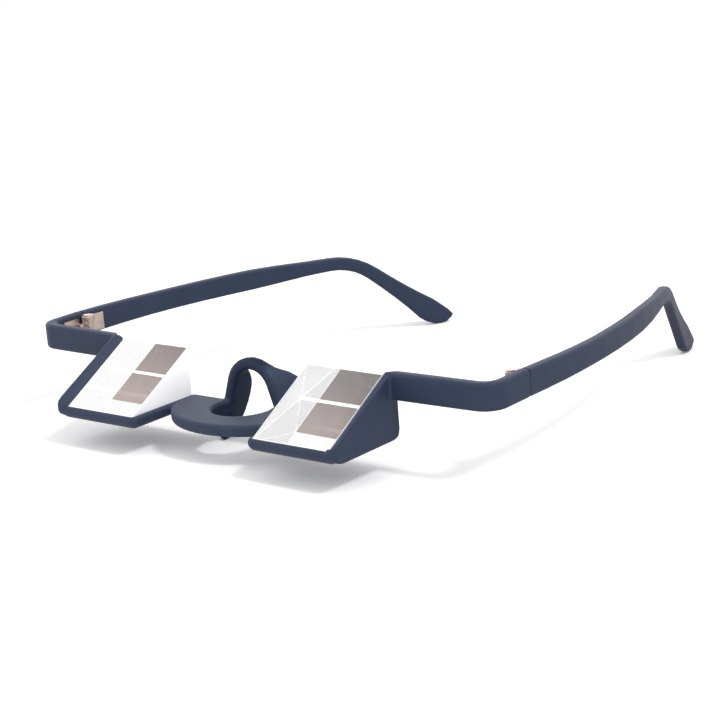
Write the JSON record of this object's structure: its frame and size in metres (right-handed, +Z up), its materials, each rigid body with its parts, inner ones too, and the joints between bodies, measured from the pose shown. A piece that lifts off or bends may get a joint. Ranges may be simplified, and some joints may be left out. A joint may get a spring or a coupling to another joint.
{
  "type": "belay glasses",
  "caption": "Spectacle frame with wedge prisms that turn the wearer's view upwards, a saddle bridge with nose wings, and hinged temples with ear hooks.",
  "frame": {"origin": "on the centre plane, on the flat underside of the nose ring, near the ring's front edge", "axes": "+X to the right as seen in the picture, +Y backwards to the ear hooks, +Z up"},
  "size_m": [0.1494, 0.1672, 0.0306],
  "materials": {
    "frame_plastic": "matte soft-touch navy",
    "temple_plastic": "matte soft-touch navy",
    "optical_glass": "polished clear crown glass",
    "mirror_coating": "silvered, with backing paint",
    "adhesive": "cured clear adhesive",
    "hinge_metal": "satin nickel silver",
    "screw_metal": "bright nickel silver"
  },
  "bodies": {
    "front": {"front_frame": "frame_plastic", "left_prism": "optical_glass", "right_prism": "optical_glass", "left_mirror_coating": "mirror_coating", "right_mirror_coating": "mirror_coating", "left_prism_bond": "adhesive", "right_prism_bond": "adhesive", "left_front_hinge_leaf": "hinge_metal", "right_front_hinge_leaf": "hinge_metal"},
    "temple_left": {"left_temple": "temple_plastic", "left_temple_hinge_leaf": "hinge_metal", "left_hinge_screw": "screw_metal"},
    "temple_right": {"right_temple": "temple_plastic", "right_temple_hinge_leaf": "hinge_metal", "right_hinge_screw": "screw_metal"}
  },
  "joints": [
    {"name": "right_temple_fold", "type": "hinge", "parent": "front", "child": "temple_right", "pos_m": [0.07, 0.02707, 0.0129], "axis": [0, 0, 1], "range_deg": [0, 83]},
    {"name": "left_temple_fold", "type": "hinge", "parent": "front", "child": "temple_left", "pos_m": [-0.07, 0.02707, 0.0129], "axis": [0, 0, -1], "range_deg": [0, 73]}
  ]
}
